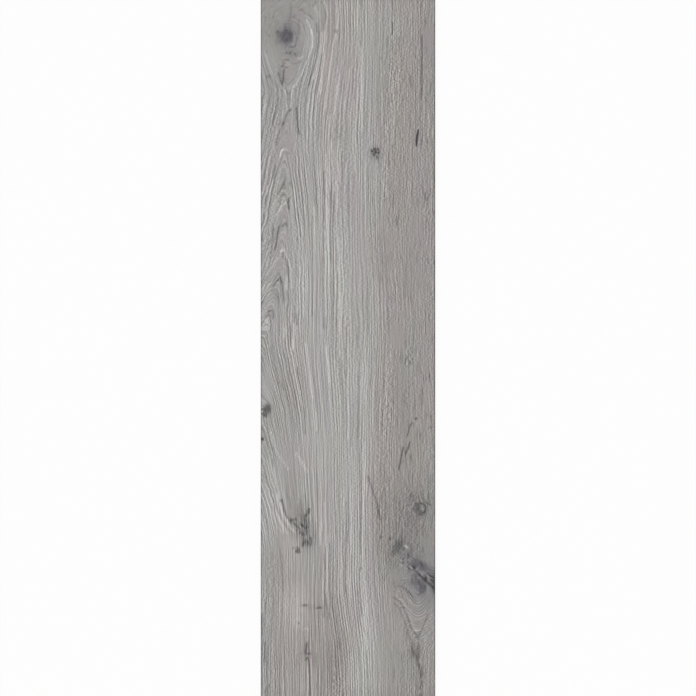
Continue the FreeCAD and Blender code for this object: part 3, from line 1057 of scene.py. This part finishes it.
glaze = {
    # ink for each share of the full level, and tint for each share of the warmth, cool to warm
    "inks": ((0.20, "#343336"), (0.45, "#737273"), (0.58, "#949494"), (0.66, "#a8a8a8"), (0.85, "#d8dad9")),
    "tints": ((0.0, "#f8edff"), (0.5, "#ffffff"), (1.0, "#fff6ef")),
    "warmest": 10.0,  # warmth at which the warm tint is whole, and the cool one if negative
    "greenTint": "#fbfffb",
    "pinkTint": "#fffbff",
    "middle": 164,  # level of the bare print
    # width and length in mm, distortion, level among long lines, level among flecks, what scales it
    "layers": (
        (4.2, 600, 0.0, 6, 8, "lines"),
        (1.8, 170, 0.0, 122, 51, "lines"),
        (2.0, 24, 0.0, 36, 45, "lines"),
        (2.2, 8, 0.2, 27, 31, "lines"),
        (0.9, 200, 0.0, 86, 35, "spreadLines"),
        (0.9, 14, 0.0, 82, 70, "spreadLines"),
        (3.4, 170, 0.0, 112, 49, "tightLines"),
        (3.4, 24, 0.0, 38, 42, "tightLines"),
        (3.0, 5.0, 1.0, 86, 86, "curl"),
        (2.2, 3.2, 0.0, 42, 50, "fineLines"),
    ),
    "limit": 0.2,  # how far from its middle a layer may swing
    "paintedLitFlank": (1.2, 0.6),  # painted relief shading: a dark line has a light neighbour, as the lit flank of an embossed line: cells between them, share of the level
    # bundles of lines and beads on a line: width and length in mm, least and most
    "bunches": ((26, 300, 0.8, 1.15), (5.5, 22, 0.75, 1.2)),
    "swing": (0.25, 0.75),  # usual range of the noise that makes them
    # dark pores: width and length in mm, distortion, noise where they start and are deepest, and the
    # level among flecks and among long lines
    "pores": (2.1, 34, 0.3, 0.28, 0.16, 34, 8),
    "emboss": 0.30,  # mm from black to white
    "roughness": (0.66, 0.52),  # in dark and in light ink
    "inkRange": (0.4, 0.75),  # share of the full level of that dark and that light ink
    "ior": 1.5,
}


def printedGlaze():
    # Matt porcelain glaze over an ink-jet oak print: dry, even sheen, crisp fibres with painted relief
    # shading beside them, faint embossing.
    material = newMaterial("matt glazed porcelain, oak print")
    tree = material.node_tree
    names = (
        "grain", "tone", "warmth", "blush", "fleck",
        "fineLines", "lines", "spreadLines", "tightLines", "curl",
    )
    layer = {n: addNode(tree, "ShaderNodeAttribute", {"attribute_name": n}, {}).outputs["Fac"] for n in names}
    place = addNode(tree, "ShaderNodeTexCoord", {}, {}).outputs["Object"]
    along = addNode(tree, "ShaderNodeSeparateXYZ", {}, {0: place}).outputs["Y"]
    alongMm = addNode(tree, "ShaderNodeMath", {"operation": "MULTIPLY", 1: 1 / mm}, {0: along}).outputs[0]
    run = addNode(tree, "ShaderNodeCombineXYZ", {}, {"X": layer["grain"], "Y": alongMm}).outputs[0]

    def fibres(width, length, distortion, aside=0.0):
        # random fibres of this width across the grain and length along it, moved aside by some widths
        stretch = {"operation": "MULTIPLY_ADD", 1: (1 / width, 1 / length, 1), 2: (aside, 0, 0)}
        scaled = addNode(tree, "ShaderNodeVectorMath", stretch, {0: run}).outputs[0]
        settings = {"noise_dimensions": "2D", "Scale": 1.0, "Detail": 0.0, "Distortion": distortion}
        return addNode(tree, "ShaderNodeTexNoise", settings, {"Vector": scaled}).outputs["Fac"]

    # bundles of stronger and weaker lines
    least, most = glaze["swing"]
    for width, length, weakest, strongest in glaze["bunches"]:
        spread = {"From Min": least, "From Max": most, "To Min": weakest, "To Max": strongest}
        noise = fibres(width, length, 0.0)
        share = addNode(tree, "ShaderNodeMapRange", spread, {"Value": noise}).outputs[0]
        both = {0: share, 1: layer["lines"]}
        layer["lines"] = addNode(tree, "ShaderNodeMath", {"operation": "MULTIPLY"}, both).outputs[0]

    # the tone with every layer of lines on top of it, as a share of the full level
    toShare = {"operation": "MULTIPLY_ADD", 1: 1 / fullLevel, 2: glaze["middle"] / fullLevel}
    level = addNode(tree, "ShaderNodeMath", toShare, {0: layer["tone"]}).outputs[0]
    limit = glaze["limit"]
    centred = {"From Min": 0.5 - limit, "From Max": 0.5 + limit, "To Min": -limit, "To Max": limit}
    # painted relief shading: each layer less a share of itself moved aside, so that every dark line gets a
    # lit flank beside it
    aside, paintedLitFlank = glaze["paintedLitFlank"]
    against = {"operation": "MULTIPLY_ADD", 1: -paintedLitFlank}
    for width, length, distortion, inLines, inFlecks, scale in glaze["layers"]:
        pair = []
        for step in (0.0, aside):
            noise = fibres(width, length, distortion, step)
            pair.append(addNode(tree, "ShaderNodeMapRange", centred, {"Value": noise}).outputs[0])
        pairedWithLitFlank = addNode(tree, "ShaderNodeMath", against, {0: pair[1], 2: pair[0]}).outputs[0]
        spread = {"To Min": inLines / fullLevel, "To Max": inFlecks / fullLevel}
        amount = addNode(tree, "ShaderNodeMapRange", spread, {"Value": layer["fleck"]}).outputs[0]
        both = {0: amount, 1: layer[scale]}
        amount = addNode(tree, "ShaderNodeMath", {"operation": "MULTIPLY"}, both).outputs[0]
        links = {0: pairedWithLitFlank, 1: amount, 2: level}
        level = addNode(tree, "ShaderNodeMath", {"operation": "MULTIPLY_ADD"}, links).outputs[0]

    width, length, distortion, first, deepest, inFlecks, inLines = glaze["pores"]
    spread = {"From Min": first, "From Max": deepest, "To Min": 0.0, "To Max": -1 / fullLevel}
    noise = fibres(width, length, distortion)
    pore = addNode(tree, "ShaderNodeMapRange", spread, {"Value": noise}).outputs[0]
    spread = {"To Min": inLines, "To Max": inFlecks}
    amount = addNode(tree, "ShaderNodeMapRange", spread, {"Value": layer["fleck"]}).outputs[0]
    links = {0: pore, 1: amount, 2: level}
    level = addNode(tree, "ShaderNodeMath", {"operation": "MULTIPLY_ADD"}, links).outputs[0]

    # ink of that tone, times the tint of the warmth and that of the blush
    spread = {"From Min": -glaze["warmest"], "From Max": glaze["warmest"]}
    warmth = addNode(tree, "ShaderNodeMapRange", spread, {"Value": layer["warmth"]}).outputs[0]
    colours = []
    for stops, factor in ((glaze["inks"], level), (glaze["tints"], warmth)):
        ramp = addNode(tree, "ShaderNodeValToRGB", {}, {0: factor})
        steps = ramp.color_ramp.elements
        steps[0].position, steps[1].position = stops[0][0], stops[-1][0]
        for position, _ in stops[1:-1]:
            steps.new(position)
        for step, (_, code) in zip(steps, stops):
            step.color = linearColour(code)
        colours.append(ramp.outputs[0])
    mixed = {"data_type": "RGBA", 6: linearColour(glaze["greenTint"]), 7: linearColour(glaze["pinkTint"])}
    colours.append(addNode(tree, "ShaderNodeMix", mixed, {0: layer["blush"]}).outputs[2])
    colour = colours[0]
    for tint in colours[1:]:
        times = {"data_type": "RGBA", "blend_type": "MULTIPLY", 0: 1.0}
        colour = addNode(tree, "ShaderNodeMix", times, {6: colour, 7: tint}).outputs[2]

    bump = addNode(tree, "ShaderNodeBump", {"Distance": glaze["emboss"] * mm}, {"Height": level}).outputs[0]
    (dark, light), (dull, sheen) = glaze["inkRange"], glaze["roughness"]
    spread = {"From Min": dark, "From Max": light, "To Min": dull, "To Max": sheen}
    roughness = addNode(tree, "ShaderNodeMapRange", spread, {"Value": level}).outputs[0]
    links = {"Base Color": colour, "Roughness": roughness, "Normal": bump}
    shader = addNode(tree, "ShaderNodeBsdfPrincipled", {"IOR": glaze["ior"]}, links).outputs[0]
    addNode(tree, "ShaderNodeOutputMaterial", {}, {"Surface": shader})
    return material


cutEdgeWithPaintedShade = {
    # ground body greys set well below the grey of the back: painted shade that makes a dark line along the
    # tile's edges
    "dark": "#2e2d2d",
    "pale": "#4a4948",
    "grit": 0.9,  # mm, drawn coarser than the body's real grains so that it shows
    "wheelMarks": (60.0, 0.5),  # length and spacing in mm of the marks that the wheels leave
    "markShare": 0.4,  # share of the marks in the tone, the rest is grit
    "contrast": (0.35, 0.65),  # tone that is wholly dark and wholly pale
    "relief": 0.05,  # mm
    "roughness": 0.62,
    "ior": 1.5,
}


def groundEdge():
    # Porcelain body cut by diamond wheels: grey, fine grained and dull, with faint marks along the cut; the
    # grey is much darker than the body's own, as painted shade for a dark line along the edges.
    material = newMaterial("ground porcelain body with painted edge shade")
    tree = material.node_tree
    place = addNode(tree, "ShaderNodeTexCoord", {}, {}).outputs["Object"]
    grit = {"Scale": 1 / (cutEdgeWithPaintedShade["grit"] * mm), "Detail": 2.0}
    speckle = addNode(tree, "ShaderNodeTexNoise", grit, {"Vector": place}).outputs["Fac"]
    length, spacing = (1 / (size * mm) for size in cutEdgeWithPaintedShade["wheelMarks"])
    stretch = {"operation": "MULTIPLY", 1: (length, length, spacing)}
    drawn = addNode(tree, "ShaderNodeVectorMath", stretch, {0: place}).outputs[0]
    strokes = {"Scale": 1.0, "Detail": 1.0}
    wheelMarks = addNode(tree, "ShaderNodeTexNoise", strokes, {"Vector": drawn}).outputs["Fac"]
    both = {2: speckle, 3: wheelMarks}
    grey = addNode(tree, "ShaderNodeMix", {0: cutEdgeWithPaintedShade["markShare"]}, both).outputs[0]
    spread = dict(zip(("From Min", "From Max"), cutEdgeWithPaintedShade["contrast"]))
    share = addNode(tree, "ShaderNodeMapRange", spread, {"Value": grey}).outputs[0]
    mixed = {"data_type": "RGBA", 6: linearColour(cutEdgeWithPaintedShade["dark"]), 7: linearColour(cutEdgeWithPaintedShade["pale"])}
    colour = addNode(tree, "ShaderNodeMix", mixed, {0: share}).outputs[2]
    bump = addNode(tree, "ShaderNodeBump", {"Distance": cutEdgeWithPaintedShade["relief"] * mm}, {"Height": grey}).outputs[0]
    settings = {"IOR": cutEdgeWithPaintedShade["ior"], "Roughness": cutEdgeWithPaintedShade["roughness"]}
    links = {"Base Color": colour, "Normal": bump}
    shader = addNode(tree, "ShaderNodeBsdfPrincipled", settings, links).outputs[0]
    addNode(tree, "ShaderNodeOutputMaterial", {}, {"Surface": shader})
    return material


reverse = {
    "dark": "#77736e",
    "pale": "#8f8b85",
    "wash": "#b9b6b0",
    "grain": 2.2,  # mm, drawn coarser than the body's real grains so that it shows
    "clouds": 60.0,  # mm
    "cloudShare": 0.5,  # share of the clouds in the tone, the rest is grain
    "contrast": (0.35, 0.65),  # tone that is wholly dark and wholly pale
    "washDepth": 0.22,  # mm above the ribs where the kiln wash ends
    "wear": (0.42, 0.60),  # tone where the wash is worn off and where it is whole
    "relief": 0.08,  # mm
    "roughness": 0.82,
    "ior": 1.5,
}


def firedBack():
    # Unglazed fired body: dry warm grey with fine specks, and a worn film of pale kiln wash on the ribs.
    material = newMaterial("unglazed fired porcelain")
    tree = material.node_tree
    place = addNode(tree, "ShaderNodeTexCoord", {}, {}).outputs["Object"]
    height = addNode(tree, "ShaderNodeSeparateXYZ", {}, {0: place}).outputs["Z"]
    fine = {"Scale": 1 / (reverse["grain"] * mm), "Detail": 3.0}
    specks = addNode(tree, "ShaderNodeTexNoise", fine, {"Vector": place}).outputs["Fac"]
    broad = {"Scale": 1 / (reverse["clouds"] * mm), "Detail": 3.0}
    clouds = addNode(tree, "ShaderNodeTexNoise", broad, {"Vector": place}).outputs["Fac"]
    grey = addNode(tree, "ShaderNodeMix", {0: reverse["cloudShare"]}, {2: specks, 3: clouds}).outputs[0]
    spread = dict(zip(("From Min", "From Max"), reverse["contrast"]))
    share = addNode(tree, "ShaderNodeMapRange", spread, {"Value": grey}).outputs[0]
    mixed = {"data_type": "RGBA", 6: linearColour(reverse["dark"]), 7: linearColour(reverse["pale"])}
    body = addNode(tree, "ShaderNodeMix", mixed, {0: share}).outputs[2]
    spread = {"From Min": reverse["washDepth"] * mm, "From Max": 0.0}
    onRib = addNode(tree, "ShaderNodeMapRange", spread, {"Value": height}).outputs[0]
    spread = dict(zip(("From Min", "From Max"), reverse["wear"]))
    worn = addNode(tree, "ShaderNodeMapRange", spread, {"Value": grey}).outputs[0]
    film = addNode(tree, "ShaderNodeMath", {"operation": "MULTIPLY"}, {0: onRib, 1: worn}).outputs[0]
    mixed = {"data_type": "RGBA", 7: linearColour(reverse["wash"])}
    colour = addNode(tree, "ShaderNodeMix", mixed, {0: film, 6: body}).outputs[2]
    depth = {"Distance": reverse["relief"] * mm}
    bump = addNode(tree, "ShaderNodeBump", depth, {"Height": specks}).outputs[0]
    settings = {"IOR": reverse["ior"], "Roughness": reverse["roughness"]}
    links = {"Base Color": colour, "Normal": bump}
    shader = addNode(tree, "ShaderNodeBsdfPrincipled", settings, links).outputs[0]
    addNode(tree, "ShaderNodeOutputMaterial", {}, {"Surface": shader})
    return material


buildTile([printedGlaze(), groundEdge(), firedBack()])

# the studio, in metres if not said otherwise
studio = {
    "floorSize": 30.0,
    "floorDrop": 0.0002,
    "floorColour": "#f2f2f1",
    "floorWhite": 0.93,  # share of plain white that the camera sees in the floor
    "ambient": 0.72,
    "keyStrength": 1.15,
    "keyLean": (25, -32),  # degrees towards the foot of the picture and its left
    "keySoftness": 40,  # degrees
    "lens": 200.0,  # mm
    "trim": 0.7,  # mm of each end of the face that the picture leaves out
    "reach": 100.0,
}


def seenDirectly(tree):
    # 1 for rays from the camera and for those that mirror or pass through on their way, else 0
    rays = addNode(tree, "ShaderNodeLightPath", {}, {}).outputs
    either = {0: rays["Is Camera Ray"], 1: rays["Is Glossy Ray"]}
    seen = addNode(tree, "ShaderNodeMath", {"operation": "MAXIMUM"}, either).outputs[0]
    either = {0: seen, 1: rays["Is Transmission Ray"]}
    return addNode(tree, "ShaderNodeMath", {"operation": "MAXIMUM"}, either).outputs[0]


def buildFloor():
    # white paper sweep: a little of its own shading, so that the tile keeps a faint shadow
    half, drop = studio["floorSize"] / 2, -studio["floorDrop"]
    outline = [(-half, -half, drop), (half, -half, drop), (half, half, drop), (-half, half, drop)]
    mesh = bpy.data.meshes.new("studio_floor")
    mesh.from_pydata(outline, [], [(0, 1, 2, 3)])
    floor = bpy.data.objects.new("studio_floor", mesh)
    scene.collection.objects.link(floor)
    material = newMaterial("white studio paper")
    tree = material.node_tree
    paper = {"Color": linearColour(studio["floorColour"])}
    diffuse = addNode(tree, "ShaderNodeBsdfDiffuse", paper, {}).outputs[0]
    white = addNode(tree, "ShaderNodeEmission", {}, {}).outputs[0]
    times = {"operation": "MULTIPLY", 1: studio["floorWhite"]}
    share = addNode(tree, "ShaderNodeMath", times, {0: seenDirectly(tree)}).outputs[0]
    both = addNode(tree, "ShaderNodeMixShader", {}, {0: share, 1: diffuse, 2: white}).outputs[0]
    addNode(tree, "ShaderNodeOutputMaterial", {}, {"Surface": both})
    mesh.materials.append(material)


def buildLight():
    # even light from all round, white where it is seen, and one soft key lamp
    world = bpy.data.worlds.new("studio")
    scene.world = world
    world.use_nodes = True
    tree = world.node_tree
    tree.nodes.clear()
    spread = {"To Min": studio["ambient"], "To Max": 1.0}
    strength = addNode(tree, "ShaderNodeMapRange", spread, {"Value": seenDirectly(tree)}).outputs[0]
    background = addNode(tree, "ShaderNodeBackground", {}, {"Strength": strength}).outputs[0]
    addNode(tree, "ShaderNodeOutputWorld", {}, {"Surface": background})

    sun = bpy.data.lights.new("soft_key", "SUN")
    sun.energy = studio["keyStrength"]
    sun.angle = math.radians(studio["keySoftness"])
    key = bpy.data.objects.new("soft_key", sun)
    key.rotation_euler = [math.radians(a) for a in studio["keyLean"]] + [0.0]
    scene.collection.objects.link(key)
    print("light: ambient", studio["ambient"], "key", studio["keyStrength"])


def buildCamera():
    # straight above the middle, so far up that the face inside its arris fills the picture's height
    lens = bpy.data.cameras.new("overhead_camera")
    lens.lens = studio["lens"]
    lens.clip_end = studio["reach"]
    camera = bpy.data.objects.new("overhead_camera", lens)
    seen = (tileLength - 2 * tile["arrisLeg"] - 2 * studio["trim"]) * mm
    camera.location = (0, 0, high.z + seen * lens.lens / lens.sensor_width)
    scene.collection.objects.link(camera)
    scene.camera = camera
    print("camera:", round(camera.location.z, 3), "m above the floor")


buildFloor()
buildLight()
buildCamera()
scene.view_settings.view_transform = "Standard"
